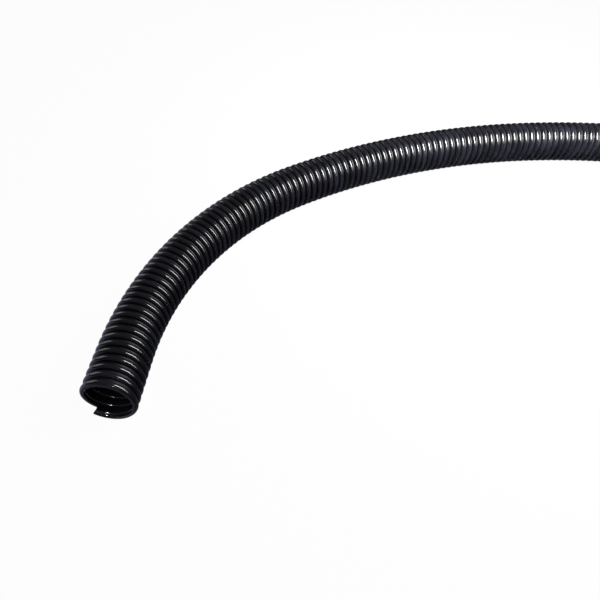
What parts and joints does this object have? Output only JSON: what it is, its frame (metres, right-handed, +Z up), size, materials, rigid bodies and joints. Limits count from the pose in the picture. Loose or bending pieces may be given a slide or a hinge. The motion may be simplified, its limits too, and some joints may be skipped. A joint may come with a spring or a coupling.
{
  "type": "corrugated conduit",
  "caption": "Length of black corrugated plastic cable conduit, thin walled and ribbed all along, lying in a gentle bend.",
  "frame": {"origin": "centre of the near mouth, on the tube's axis", "axes": "+Y along the axis into the tube from the near mouth, +X the way the bend turns, +Z up from the floor the tube lies on"},
  "size_m": [0.842, 0.3287, 0.0344],
  "materials": {
    "conduit": "glossy black"
  },
  "bodies": {
    "root": {"conduit": "conduit"}
  },
  "joints": []
}
